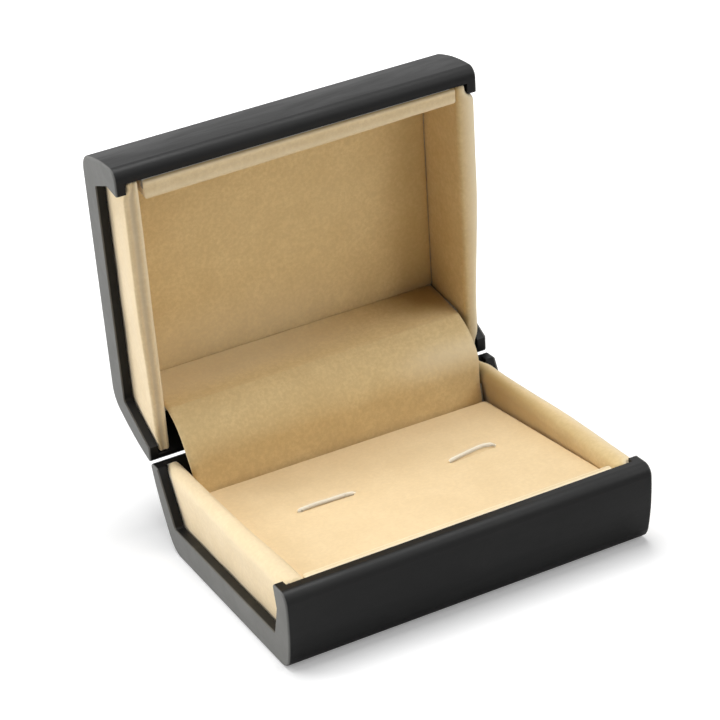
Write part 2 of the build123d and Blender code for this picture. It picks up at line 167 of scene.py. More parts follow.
def upper_edges(bm, top):
    """The edges round a box's top, and the upright ones at its corners."""
    rim = [e for e in bm.edges if min(v.co.z for v in e.verts) > top - 0.01]
    rising = [e for e in bm.edges if abs(e.verts[0].co.z - e.verts[1].co.z) > 1]
    return rim + rising


def cut(bm, axis, places):
    """Adds a row of edges square to an axis at each place."""
    normal = Vector([1 if i == axis else 0 for i in range(3)])
    for place in places:
        bmesh.ops.bisect_plane(
            bm,
            geom=bm.verts[:] + bm.edges[:] + bm.faces[:],
            dist=1e-4,
            plane_co=normal * place,
            plane_no=normal,
        )


def steps(low, high, spacing):
    """Even places between low and high, about one spacing apart."""
    count = max(1, round((high - low) / spacing))
    return [low + (high - low) * i / count for i in range(1, count)]


def round_edges(bm, edges, radius, segments):
    bmesh.ops.bevel(
        bm,
        geom=edges,
        offset=radius,
        offset_type="OFFSET",
        segments=segments,
        profile=0.5,
        affect="EDGES",
        material=-1,
        clamp_overlap=True,
    )


def new_verts(made):
    return [v for v in made if isinstance(v, bmesh.types.BMVert)]


def new_edges(made):
    return [e for e in made if isinstance(e, bmesh.types.BMEdge)]


def piece(name, bm, materials, turn=None, closed=True):
    """A finished object in metres, its faces outwards, smooth shaded."""
    bm.transform(Matrix.Scale(MM, 4) @ (turn or Matrix.Identity(4)))
    if closed:
        bm.normal_update()
        bmesh.ops.recalc_face_normals(bm, faces=bm.faces[:])
        if bm.calc_volume(signed=True) < 0:
            bmesh.ops.reverse_faces(bm, faces=bm.faces[:])
    for face in bm.faces:
        face.smooth = True
    mesh = bpy.data.meshes.new(name)
    bm.to_mesh(mesh)
    bm.free()
    for material in materials:
        mesh.materials.append(material)
    made = bpy.data.objects.new(name, mesh)
    bpy.context.scene.collection.objects.link(made)
    return made


def mark_cloth(made, pressed_and_highlight, painted_shade):
    """Marks each point's pile for velvet_material().

    The first mark: above 0 the pile lies pressed flat and greyer, below 0 a painted highlight.
    The second mark: painted shade, darker where shade falls.
    """
    for name, shares in (("pressed_and_highlight", pressed_and_highlight), ("painted_shade", painted_shade)):
        mark = made.data.attributes.new(name, "FLOAT", "POINT")
        mark.data.foreach_set("value", shares)


def soften(made):
    rounded = made.modifiers.new("round", "SUBSURF")
    rounded.levels = 1
    rounded.render_levels = 1


def thicken(made, thickness, offset):
    """Gives a cloth its thickness, to one side of its face."""
    thick = made.modifiers.new("cloth", "SOLIDIFY")
    thick.thickness = thickness * MM
    thick.offset = offset
    return thick


# ---- shader helpers
class Bench:
    """Lays nodes out in one node tree."""

    def __init__(self, tree):
        self.tree = tree

    def add(self, kind, **settings):
        node = self.tree.nodes.new(kind)
        for key, value in settings.items():
            setattr(node, key, value)
        return node

    def join(self, source, target):
        self.tree.links.new(source, target)

    def set(self, socket, value):
        if isinstance(value, bpy.types.NodeSocket):
            self.join(value, socket)
        else:
            socket.default_value = value

    def math(self, operation, first, second=0.5, clamp=False):
        node = self.add("ShaderNodeMath", operation=operation, use_clamp=clamp)
        self.set(node.inputs[0], first)
        self.set(node.inputs[1], second)
        return node.outputs[0]

    def times(self, first, second):
        return self.math("MULTIPLY", first, second)

    def plus(self, first, second):
        return self.math("ADD", first, second)

    def ramp(self, value, low, high, to_low=0.0, to_high=1.0):
        node = self.add("ShaderNodeMapRange", interpolation_type="SMOOTHSTEP")
        self.set(node.inputs["Value"], value)
        self.set(node.inputs["From Min"], low)
        self.set(node.inputs["From Max"], high)
        self.set(node.inputs["To Min"], to_low)
        self.set(node.inputs["To Max"], to_high)
        return node.outputs["Result"]

    def mix(self, share, first, second):
        node = self.add("ShaderNodeMix", data_type="RGBA", blend_type="MIX")
        self.set(node.inputs["Factor"], share)
        self.set(node.inputs["A"], first)
        self.set(node.inputs["B"], second)
        return node.outputs["Result"]

    def noise(self, where, scale, detail=3.0, rough=0.55, twist=0.0):
        node = self.add("ShaderNodeTexNoise")
        self.join(where, node.inputs["Vector"])
        self.set(node.inputs["Scale"], scale)
        node.inputs["Detail"].default_value = detail
        node.inputs["Roughness"].default_value = rough
        node.inputs["Distortion"].default_value = twist
        return node.outputs["Fac"]

    def cells(self, where, scale, feature="F1"):
        node = self.add("ShaderNodeTexVoronoi", feature=feature)
        self.join(where, node.inputs["Vector"])
        self.set(node.inputs["Scale"], scale)
        return node.outputs["Distance"]

    def place(self, where, scale=(1, 1, 1), turn=(0, 0, 0)):
        node = self.add("ShaderNodeMapping")
        self.join(where, node.inputs["Vector"])
        node.inputs["Scale"].default_value = scale
        node.inputs["Rotation"].default_value = turn
        return node.outputs["Vector"]

    def object_place(self):
        return self.add("ShaderNodeTexCoord").outputs["Object"]

    def mark(self, name):
        """A mesh's own attribute, written by mark_cloth()."""
        return self.add("ShaderNodeAttribute", attribute_name=name).outputs["Fac"]


def new_group(name, takes, gives):
    """A shader node group; takes has (name, kind, value), gives (name, kind)."""
    tree = bpy.data.node_groups.new(name, "ShaderNodeTree")
    for word, kind, value in takes:
        socket = tree.interface.new_socket(name=word, in_out="INPUT", socket_type=kind)
        socket.default_value = value
    for word, kind in gives:
        tree.interface.new_socket(name=word, in_out="OUTPUT", socket_type=kind)
    bench = Bench(tree)
    inside = bench.add("NodeGroupInput").outputs
    outside = bench.add("NodeGroupOutput").inputs
    return tree, bench, inside, outside


COLOUR = "NodeSocketColor"
NUMBER = "NodeSocketFloat"


def flock_group():
    """Short flocked pile: mottled colour, fibre height and dullness."""
    takes = [
        ("Light", COLOUR, (0.8, 0.7, 0.5, 1)),
        ("Dark", COLOUR, (0.7, 0.6, 0.4, 1)),
        ("Worn", COLOUR, (0.6, 0.5, 0.35, 1)),
        ("Fibre Size", NUMBER, 1800.0),
        ("Mottle Size", NUMBER, 110.0),
        ("Mottle", NUMBER, 0.6),
        ("Speckle", NUMBER, 0.3),
    ]
    gives = [("Colour", COLOUR), ("Height", NUMBER), ("Dullness", NUMBER)]
    tree, bench, inside, outside = new_group("flocked pile", takes, gives)
    where = bench.object_place()
    cloud = bench.noise(where, inside["Mottle Size"], 4.0, 0.6, 0.4)
    brushed = bench.place(where, (1.0, 0.35, 1.0), (0.3, 0.0, 0.5))
    strokes = bench.noise(brushed, bench.times(inside["Mottle Size"], 4.5), 3.0, 0.6, 0.8)
    fibre = bench.noise(where, inside["Fibre Size"], 4.0, 0.7)
    tuft = bench.cells(where, bench.times(inside["Fibre Size"], 0.7))
    shade = bench.times(bench.ramp(cloud, 0.3, 0.7), inside["Mottle"])
    base = bench.mix(shade, inside["Light"], inside["Dark"])
    streaks = bench.ramp(strokes, 0.42, 0.72)
    swept = bench.times(streaks, bench.times(inside["Mottle"], 0.7))
    base = bench.mix(swept, base, inside["Dark"])
    speck = bench.times(bench.ramp(fibre, 0.38, 0.66, 1.0, 0.0), inside["Speckle"])
    coloured = bench.mix(speck, base, inside["Worn"])
    high = bench.plus(bench.times(fibre, 0.7), bench.times(tuft, 0.35))
    high = bench.plus(high, bench.times(strokes, 0.35))
    bench.join(coloured, outside["Colour"])
    bench.join(high, outside["Height"])
    bench.join(bench.ramp(fibre, 0.3, 0.7, 0.86, 1.0), outside["Dullness"])
    return tree


def grain_group():
    """Fine moulded grain of satin plastic with rubbed places."""
    takes = [
        ("Base", COLOUR, (0.03, 0.03, 0.03, 1)),
        ("Rubbed", COLOUR, (0.06, 0.06, 0.06, 1)),
        ("Grain Size", NUMBER, 1500.0),
        ("Dull", NUMBER, 0.45),
        ("Shiny", NUMBER, 0.3),
        ("Rub", NUMBER, 0.4),
    ]
    gives = [("Colour", COLOUR), ("Height", NUMBER), ("Roughness", NUMBER)]
    tree, bench, inside, outside = new_group("moulded grain", takes, gives)
    where = bench.object_place()
    pebble = bench.cells(where, inside["Grain Size"], "SMOOTH_F1")
    fine = bench.noise(where, bench.times(inside["Grain Size"], 2.2), 3.0, 0.6)
    flow = bench.noise(bench.place(where, (0.25, 1, 1)), 160.0, 4.0, 0.6, 0.5)
    handled = bench.noise(where, 45.0, 5.0, 0.62, 0.6)
    askew = bench.place(where, (0.4, 1, 1), (0.2, 0.1, 0.7))
    lint = bench.noise(askew, 900.0, 2.0, 0.5, 1.5)
    rub = bench.times(bench.ramp(handled, 0.45, 0.75), inside["Rub"])
    coloured = bench.mix(rub, inside["Base"], inside["Rubbed"])
    dust = bench.times(bench.ramp(lint, 0.70, 0.82), 0.25)
    coloured = bench.mix(dust, coloured, inside["Rubbed"])
    rough = bench.mix(bench.ramp(flow, 0.35, 0.7), inside["Dull"], inside["Shiny"])
    high = bench.plus(bench.times(pebble, 0.6), bench.times(fine, 0.4))
    bench.join(coloured, outside["Colour"])
    bench.join(high, outside["Height"])
    bench.join(rough, outside["Roughness"])
    return tree


def fibre_group():
    """Pressed board: long pale and dark fibres in a grey sheet."""
    takes = [
        ("Base", COLOUR, (0.5, 0.48, 0.45, 1)),
        ("Fleck", COLOUR, (0.3, 0.28, 0.25, 1)),
        ("Fibre Size", NUMBER, 700.0),
    ]
    gives = [("Colour", COLOUR), ("Height", NUMBER)]
    tree, bench, inside, outside = new_group("pressed fibre", takes, gives)
    where = bench.object_place()
    size = inside["Fibre Size"]
    along = bench.noise(bench.place(where, (0.2, 1, 1)), size, 4.0, 0.65, 1.2)
    askew = bench.place(where, (1, 0.25, 1), (0, 0, 0.6))
    across = bench.noise(askew, size, 4.0, 0.65, 1.0)
    cloud = bench.noise(where, 90.0, 3.0)
    fleck = bench.times(bench.ramp(along, 0.52, 0.7), 0.6)
    coloured = bench.mix(fleck, inside["Base"], inside["Fleck"])
    patches = bench.times(bench.ramp(cloud, 0.3, 0.7), 0.25)
    coloured = bench.mix(patches, coloured, inside["Fleck"])
    bench.join(coloured, outside["Colour"])
    bench.join(bench.plus(along, across), outside["Height"])
    return tree


def brushed_group():
    """Plated strip: fine drawn lines and slight tarnish."""
    takes = [
        ("Bright", COLOUR, (0.7, 0.69, 0.66, 1)),
        ("Tarnish", COLOUR, (0.4, 0.36, 0.3, 1)),
        ("Line Size", NUMBER, 2500.0),
        ("Tarnish Share", NUMBER, 0.4),
    ]
    gives = [("Colour", COLOUR), ("Height", NUMBER), ("Roughness", NUMBER)]
    tree, bench, inside, outside = new_group("drawn metal", takes, gives)
    where = bench.object_place()
    drawn = bench.place(where, (0.06, 1, 1))
    lines = bench.noise(drawn, inside["Line Size"], 3.0, 0.6)
    stain = bench.noise(where, 260.0, 4.0, 0.6, 0.5)
    share = bench.times(bench.ramp(stain, 0.48, 0.75), inside["Tarnish Share"])
    bench.join(bench.mix(share, inside["Bright"], inside["Tarnish"]), outside["Colour"])
    bench.join(lines, outside["Height"])
    bench.join(bench.ramp(lines, 0.3, 0.7, 0.22, 0.42), outside["Roughness"])
    return tree


def fresh_material(name):
    material = bpy.data.materials.new(name)
    material.use_nodes = True
    bench = Bench(material.node_tree)
    shader = material.node_tree.nodes["Principled BSDF"]
    return material, bench, shader


def place_group(bench, tree, values):
    node = bench.add("ShaderNodeGroup", node_tree=tree)
    for word, value in values.items():
        bench.set(node.inputs[word], value)
    return node.outputs


def plug_in(bench, shader, tone, rough, height, depth, strength):
    """Joins a material's tone, roughness and relief, whose depth is in metres."""
    bench.join(tone, shader.inputs["Base Color"])
    bench.join(rough, shader.inputs["Roughness"])
    node = bench.add("ShaderNodeBump")
    node.inputs["Strength"].default_value = strength
    node.inputs["Distance"].default_value = depth
    bench.join(height, node.inputs["Height"])
    bench.join(node.outputs["Normal"], shader.inputs["Normal"])


# ---- materials, their colours linear
FLOCK = flock_group()
GRAIN = grain_group()
FIBRE = fibre_group()
BRUSHED = brushed_group()

# Tones the cloth marks mix in: pressed pile, painted highlight and painted shade.
FLAT_PILE = (0.50, 0.42, 0.31, 1)
PAINTED_HIGHLIGHT_PILE = (0.97, 0.84, 0.60, 1)
PAINTED_SHADE_PILE = (0.40, 0.26, 0.09, 1)
MARK_SHARE = 0.75               # how far the first cloth mark at 1 changes the tone, to pressed pile or painted highlight


def velvet_material(name, light, dark, worn, sheen, speckle=0.32, mottle=1.0):
    """Flocked cloth; the pile dulls the surface and glows at the edges."""
    material, bench, shader = fresh_material(name)
    values = {
        "Light": (*light, 1),
        "Dark": (*dark, 1),
        "Worn": (*worn, 1),
        "Speckle": speckle,
        "Mottle": mottle,
        "Fibre Size": 1150.0,
    }
    pile = place_group(bench, FLOCK, values)
    # The marks mix in pressed pile, a painted highlight and painted shade.
    pressed_and_highlight = bench.mark("pressed_and_highlight")
    flat = bench.math("MULTIPLY", pressed_and_highlight, MARK_SHARE, clamp=True)
    highlight_share = bench.math("MULTIPLY", pressed_and_highlight, -MARK_SHARE, clamp=True)
    tone = bench.mix(flat, pile["Colour"], FLAT_PILE)
    tone = bench.mix(highlight_share, tone, PAINTED_HIGHLIGHT_PILE)
    tone = bench.mix(bench.mark("painted_shade"), tone, PAINTED_SHADE_PILE)
    shader.inputs["Sheen Weight"].default_value = sheen
    shader.inputs["Sheen Roughness"].default_value = 0.4
    shader.inputs["Sheen Tint"].default_value = (1.0, 0.96, 0.88, 1)
    shader.inputs["Specular IOR Level"].default_value = 0.2
    plug_in(bench, shader, tone, pile["Dullness"], pile["Height"], 0.00012, 0.35)
    return material


def cut_edge_material():
    """Cream cut of the cloth and foam inside the slits."""
    material, bench, shader = fresh_material("cut edge")
    values = {
        "Light": (0.94, 0.88, 0.74, 1),
        "Dark": (0.90, 0.82, 0.67, 1),
        "Worn": (0.80, 0.71, 0.56, 1),
        "Fibre Size": 2600.0,
        "Speckle": 0.2,
    }
    pile = place_group(bench, FLOCK, values)
    shader.inputs["Specular IOR Level"].default_value = 0.2
    plug_in(bench, shader, pile["Colour"], pile["Dullness"], pile["Height"], 0.0001, 0.6)
    return material


def foam_material():
    """White foam with open pores."""
    material, bench, shader = fresh_material("white foam")
    where = bench.object_place()
    pores = bench.cells(where, 2400.0)
    small = bench.cells(where, 5200.0)
    cloud = bench.noise(where, 150.0)
    # Darker in the pores' depths: painted shade.
    depth = bench.ramp(pores, 0.1, 0.6)
    tone = bench.mix(depth, (0.72, 0.62, 0.46, 1), (0.93, 0.86, 0.72, 1))
    patches = bench.times(bench.ramp(cloud, 0.35, 0.7), 0.3)
    tone = bench.mix(patches, tone, (0.86, 0.8, 0.68, 1))
    rough = bench.ramp(small, 0.1, 0.5, 0.8, 1.0)
    height = bench.plus(pores, bench.times(small, 0.5))
    plug_in(bench, shader, tone, rough, height, 0.00015, 0.7)
    return material


def shell_material():
    """Satin black plastic; the end faces are duller and greyer."""
    material, bench, shader = fresh_material("black shell")
    values = {
        "Base": (0.0035, 0.0035, 0.0035, 1),
        "Rubbed": (0.010, 0.010, 0.0095, 1),
        "Grain Size": 1700.0,
        "Dull": 0.5,
        "Shiny": 0.38,
    }
    skin = place_group(bench, GRAIN, values)
    where = bench.add("ShaderNodeSeparateXYZ")
    bench.join(bench.object_place(), where.inputs[0])
    outward = bench.math("ABSOLUTE", where.outputs["X"])
    end_face = bench.ramp(outward, 0.03955, 0.03985)
    # The end faces' grey tone is a painted reflection of the light from the left.
    tone = bench.mix(end_face, skin["Colour"], (0.135, 0.135, 0.128, 1))
    dull = bench.plus(skin["Roughness"], bench.times(end_face, 0.15))
    shader.inputs["IOR"].default_value = 1.31
    plug_in(bench, shader, tone, dull, skin["Height"], 0.00004, 0.35)
    return material


def card_material():
    material, bench, shader = fresh_material("grey board")
    values = {"Base": (0.42, 0.4, 0.36, 1), "Fleck": (0.25, 0.23, 0.2, 1)}
    sheet = place_group(bench, FIBRE, values)
    rough = bench.ramp(sheet["Height"], 0.6, 1.4, 0.8, 0.97)
    plug_in(bench, shader, sheet["Colour"], rough, sheet["Height"], 0.00008, 0.5)
    return material


def steel_material(name, bright, tarnish, share):
    material, bench, shader = fresh_material(name)
    values = {"Bright": (*bright, 1), "Tarnish": (*tarnish, 1), "Tarnish Share": share}
    strip = place_group(bench, BRUSHED, values)
    shader.inputs["Metallic"].default_value = 1.0
    plug_in(bench, shader, strip["Colour"], strip["Roughness"], strip["Height"], 0.00002, 0.4)
    return material


VELVET = velvet_material(
    "beige velvet",
    light=(0.86, 0.67, 0.36), dark=(0.79, 0.60, 0.31), worn=(0.60, 0.43, 0.20), sheen=0.5,
)
PAD_VELVET = velvet_material(
    "pad velvet",
    light=(0.86, 0.67, 0.40), dark=(0.80, 0.61, 0.35), worn=(0.64, 0.47, 0.25), sheen=0.5,
    speckle=0.2, mottle=0.75,
)
# A lighter, less saturated copy of the beige velvet: painted light for the brightly lit
# panels.
LIT_PANEL_VELVET = velvet_material(
    "panel velvet",
    light=(0.86, 0.69, 0.43), dark=(0.81, 0.64, 0.38), worn=(0.64, 0.47, 0.26), sheen=0.7,
)
# A darker copy of the panel velvet: painted shade for the lid's right panel.
SHADED_VELVET = velvet_material(
    "panel velvet, painted shade",
    light=(0.72, 0.54, 0.275), dark=(0.66, 0.48, 0.23), worn=(0.50, 0.34, 0.15), sheen=0.25,
)
CUT_EDGE = cut_edge_material()
WHITE_FOAM = foam_material()
BLACK_SHELL = shell_material()
GREY_BOARD = card_material()
NICKEL = steel_material("nickel", (0.62, 0.61, 0.58), (0.4, 0.36, 0.3), 0.35)
BRIGHT_PIN = steel_material("bright pin", (0.7, 0.7, 0.69), (0.45, 0.42, 0.38), 0.2)
SPRING_STRIP = steel_material("spring strip", (0.32, 0.34, 0.37), (0.2, 0.16, 0.12), 0.5)
SCREW_HEAD = steel_material("screw nickel", (0.64, 0.63, 0.6), (0.42, 0.38, 0.32), 0.3)

CAD_FINISHES = {                # by the last word of a node's name
    "shell": BLACK_SHELL,
    "card": GREY_BOARD,
    "riser": GREY_BOARD,
    "leaf": NICKEL,
    "pin": BRIGHT_PIN,
    "screws": SCREW_HEAD,
}


def dress_cad_nodes():
    for name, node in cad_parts.items():
        material = CAD_FINISHES.get(name.split("_")[-1])
        if material is not None:
            node.data.materials.clear()
            node.data.materials.append(material)


# ---- side panels
def opening(y, z):
    """0 at the ribs' inner lines, 1 well inside the opening between them."""
    front = y - RIB_FRONT
    if z < RIB_KNEE:
        front = y - RIB_FRONT - RIB_FRONT_LEAN * (RIB_KNEE - z) / RIB_KNEE_RISE
    rear = RIB_REAR - RIB_REAR_LEAN * (SHELL_TOP - z) / RIB_REAR_RISE - y
    foot = z - RIB_FOOT
    across = smooth(-0.3, 1.2, front) * smooth(-0.2, 1.5, rear)
    return across * (0.35 * smooth(0.0, 4.0, foot) + 0.65 * smooth(2.0, 11.0, foot))


def stretched_roll(z, top, roll, drop):
    """Moves the heights of a rim rounded over roll, to be rounded over drop."""
    depth = top - z
    if depth <= roll:
        return top - depth * drop / roll
    foot = top - FLOOR_TOP
    return top - (drop + (depth - roll) * (foot - drop) / (foot - roll))


def side_panel(
    name, cloth, seed, side, on_lid, inner, lip, roll, drop, swell, painted_rim_highlight,
    lean=0.0, tuck=0.0, bulge=0.0, groove=0.0, flat_rim=0.0,
):
    """Padded panel at one end: rounded rim, swelling out between the ribs.

    side is -1 or 1; roll and drop are the rim's rounding across and down.
    swell stands out between the ribs, lean and tuck draw the inner face back
    above and below, bulge carries the rim over the pad, groove hollows it.
    """
    outer = PANEL_OUTER
    top = SHELL_TOP
    wide = outer - inner
    low_y = front_wall(top, lip)
    high_y = rear_wall(top)
    long = high_y - low_y
    size = (wide, long, top - FLOOR_TOP - PANEL_FOOT_GAP)
    middle_z = (FLOOR_TOP + PANEL_FOOT_GAP + top) / 2
    bm = new_box(size, ((inner + outer) / 2, (low_y + high_y) / 2, middle_z))
    round_edges(bm, upper_edges(bm, top), roll, 7)
    cut(bm, 1, steps(low_y + roll, high_y - roll, 1.1))
    upper = steps(LIP_BEND, top - roll, 0.9)
    cut(bm, 2, steps(FLOOR_TOP, LIP_BEND, 1.2) + [LIP_BEND] + upper)
    cut(bm, 0, steps(inner + roll, outer - roll, 0.22))
    ridge = inner + wide * 0.56
    pressed_and_highlight = []
    painted_shade = []
    for vert in bm.verts:
        x, y, z = vert.co
        z = stretched_roll(z, top, roll, drop)
        share = (y - low_y) / long
        y = front_wall(z, lip) + share * (rear_wall(z) - front_wall(z, lip))
        outside = (x - inner) / wide
        inside = 1 - outside
        to_rear = 1 - 0.6 * smooth(-8.0, 26.0, y)
        x += max(0.0, outside - 0.25) / 0.75 * swell * to_rear * opening(y, z)
        x += inside * (lean * smooth(FLOOR_TOP, top, z) + tuck * (1 - smooth(13.0, 17.5, z)))
        x -= inside * bulge * (1 - smooth(-28.0, 6.0, y)) * smooth(16.6, 17.9, z)
        uneven = 0.12 * drift((x * 0.2, y, z), 0.11, seed) * smooth(FLOOR_TOP, 6.0, z)
        x += uneven * (1 - 0.5 * smooth(15.5, 17.5, z))
        padding = 0.10 * inside * bump((FLOOR_TOP + top) / 2, 5.0, z)
        x -= padding * smooth(0, 8, share * 60) * smooth(0, 8, 60 - share * 60)
        hollow = 0.0
        if z > top - 0.45:
            hollow = bump(ridge, wide * 0.2, vert.co.x)
            z -= groove * hollow * (0.8 + 0.3 * drift((0, y, 0), 0.16, seed + 3))
            z -= 0.05 * (1 + drift((x, y, 0), 0.09, seed + 5))
        # Rims and the lid's inner bead are lightened as a painted highlight; above 0 the
        # trough's pile lies pressed flat.
        if flat_rim > 0:
            lies_flat = flat_rim * hollow * smooth(-31.5, -29.5, y)
            inner_edge = bump(inner + 0.25, 0.5, vert.co.x)
            painted_bead_highlight = painted_rim_highlight * inner_edge * smooth(top - 2.0, top - 0.6, z)
            pressed_and_highlight.append(lies_flat - painted_bead_highlight)
        elif on_lid:
            outer_part = smooth(inner + 0.3, inner + 2.6, vert.co.x)
            pressed_and_highlight.append(-painted_rim_highlight * smooth(15.0, 17.5, z) * outer_part)
        elif side > 0:
            pressed_and_highlight.append(-painted_rim_highlight * smooth(inner + 1.3, inner + 2.9, vert.co.x))
        else:
            pressed_and_highlight.append(-painted_rim_highlight * smooth(12.0, top, z))
        # Painted shade on the right base panel's inner face, deeper towards the rear.
        away = 1 - smooth(inner + 0.7, inner + 2.2, vert.co.x)
        painted_shade.append(tuck * 2.5 * (0.18 + 0.73 * smooth(-30.0, 24.0, y)) * away)
        vert.co = (x, y, z)
    if side < 0:
        bm.transform(Matrix.Scale(-1, 4, (1, 0, 0)))
    made = piece(name, bm, [cloth], onto_lid() if on_lid else None)
    mark_cloth(made, pressed_and_highlight, painted_shade)
    soften(made)
    return made


def front_panel(
    name, seed, on_lid, ends, thickness, foot, lip, groove, painted_rim_highlight,
    flat_rim=0.0, spread=(0.0, 0.0), dip=0.0,
):
    """Panel behind the front lip, its rim hollowed between raised edges.

    ends are its two x values. spread is how much further in its inner face
    stands, at x 0 and per millimetre of x; dip sinks the rim by the lip, where
    the sunk band gets painted shade. The rim's raised edges get a painted highlight.
    """
    top = SHELL_TOP
    outer = front_wall(top, lip)
    inner = outer + thickness
    middle = (outer + inner) / 2
    size = (ends[1] - ends[0], thickness, top - foot)
    bm = new_box(size, ((ends[0] + ends[1]) / 2, middle, (top + foot) / 2))
    round_edges(bm, upper_edges(bm, top), 0.55, 4)
    cut(bm, 0, steps(ends[0] + 0.8, ends[1] - 0.8, 1.2))
    cut(bm, 2, steps(foot, top - 0.8, 0.9) + [LIP_BEND])
    cut(bm, 1, steps(outer + 0.6, inner - 0.6, 0.2))
    pressed_and_highlight = []
    painted_shade = []
    for vert in bm.verts:
        x, y, z = vert.co
        share = (y - outer) / thickness
        y = front_wall(z, lip) + share * (inner - front_wall(z, lip))
        y += smooth(0.5, 1.0, share) * (0.10 * drift((x, 0, z), 0.10, seed) - 0.08)
        at_rim = 0.0
        if z > top - 0.3:
            hollow = bump(middle, thickness * 0.3, vert.co.y)
            z -= groove * hollow * (0.85 + 0.3 * drift((x, 0, 0), 0.12, seed + 2))
            z -= 0.05 * (1 + drift((x, y, 0), 0.07, seed + 4))
            # The raised edges get a painted highlight; the hollow's pile lies pressed flat.
            near_lip = 1.5 - 0.4 * smooth(0.3, 0.7, share) if dip else 1.0
            at_rim = flat_rim * hollow - painted_rim_highlight * near_lip * (1 - hollow)
        pressed_and_highlight.append(at_rim)
        y += share * (spread[0] + spread[1] * x) * smooth(6.0, 12.0, z)
        # Painted shade on the band sunk by the lip and along the inner edge.
        by_lip = 1 - smooth(0.2, 1.0, y - outer)
        by_lip *= smooth(top - 2.0, top - 0.4, vert.co.z)
        z -= dip * by_lip
        painted_shade.append(by_lip + 0.3 * smooth(0.8, 1.0, share) if dip else 0.0)
        vert.co = (x, y, z)
    made = piece(name, bm, [LIT_PANEL_VELVET], onto_lid() if on_lid else None)
    mark_cloth(made, pressed_and_highlight, painted_shade)
    soften(made)
    return made


# ---- ceiling
def lid_ceiling():
    """Cloth laid on the lid's card, its edges turned down a little."""
    left, right, front, rear = -35.18, 34.84, -28.45, 24.3
    bm = new_grid(60, 46, (left, right), (front, rear), height=4.5)
    pressed_and_highlight = []
    painted_shade = []
    for vert in bm.verts:
        x, y, z = vert.co
        # Painted light at the rear left; painted shade growing towards the right-hand seam.
        pressed_and_highlight.append(-0.35 * smooth(6.0, 22.0, y) * (1 - smooth(-5.0, 25.0, x)))
        painted_shade.append(0.45 * smooth(21.5, 32.0, x))
        edge = min(right - x, x - left, y - front, rear - y)
        z -= 0.16 * (1 - smooth(0, 0.9, edge)) ** 2
        by_right = 1 - smooth(0, 0.7, right - x)
        z -= 0.1 * by_right * (0.7 + 0.5 * drift((0, y, 0), 0.3, 11.0))
        at_right = 1 - smooth(0, 0.5, right - x)
        at_rear = 1 - smooth(0, 0.5, rear - y)
        vert.co.x = x - 0.12 * at_right * drift((0, y, 0), 0.35, 14.0)
        vert.co.y = y - 0.12 * at_rear * drift((x, 0, 0), 0.3, 15.0)
        vert.co.z = z + 0.07 * drift((x, y, 0), 0.07, 2.0) * smooth(0, 4, edge)
    bmesh.ops.reverse_faces(bm, faces=bm.faces[:])
    made = piece("lid_ceiling_cloth", bm, [VELVET], onto_lid(), closed=False)
    mark_cloth(made, pressed_and_highlight, painted_shade)
    thicken(made, 0.5, -1)
    soften(made)
    return made


# ---- hinge cover
def grow(bm, way, count):
    """Draws the tagged edges out along a way in a number of steps."""
    for _ in range(count):
        loose = [e for e in bm.edges if e.tag]
        made = bmesh.ops.extrude_edge_only(bm, edges=loose)["geom"]
        for edge in loose:
            edge.tag = False
        fresh = new_verts(made)
        bmesh.ops.translate(bm, vec=Vector(way) / count, verts=fresh)
        for edge in new_edges(made):
            edge.tag = all(v in fresh for v in edge.verts)


def cover_slope():
    """Slope of the cover where it lies on the lid's rear card."""
    rise = COVER_LID_END[1] - COVER_LID_START[1]
    return math.atan2(rise, COVER_LID_END[0] - COVER_LID_START[0])


def cover_path():
    """The cover's bare path: upright, round the bend, on along the lid."""
    bm = bmesh.new()
    ends = [bm.verts.new((x, COVER_FACE, COVER_FOOT)) for x in (-COVER_HALF, COVER_HALF)]
    line = bm.edges.new(ends)
    bmesh.ops.subdivide_edges(bm, edges=[line], cuts=57)
    for edge in bm.edges:
        edge.tag = True
    bend_y, bend_z, _ = COVER_BEND
    grow(bm, (0, 0, bend_z - COVER_FOOT), 12)
    slope = cover_slope()
    last = [e for e in bm.edges if e.tag]
    for edge in last:
        edge.tag = False
    turned = bmesh.ops.spin(
        bm,
        geom=last + list({v for e in last for v in e.verts}),
        cent=(0, bend_y, bend_z),
        axis=(1, 0, 0),
        dvec=(0, 0, 0),
        angle=-(math.pi / 2 - slope),
        steps=36,
        use_merge=False,
        use_duplicate=False,
    )
    for edge in new_edges(turned["geom_last"]):
        edge.tag = True
    run = (COVER_LID_END[0] - COVER_LID_START[0]) / math.cos(slope) + 0.5
    grow(bm, straight_way(slope) * run, 18)
    return bm


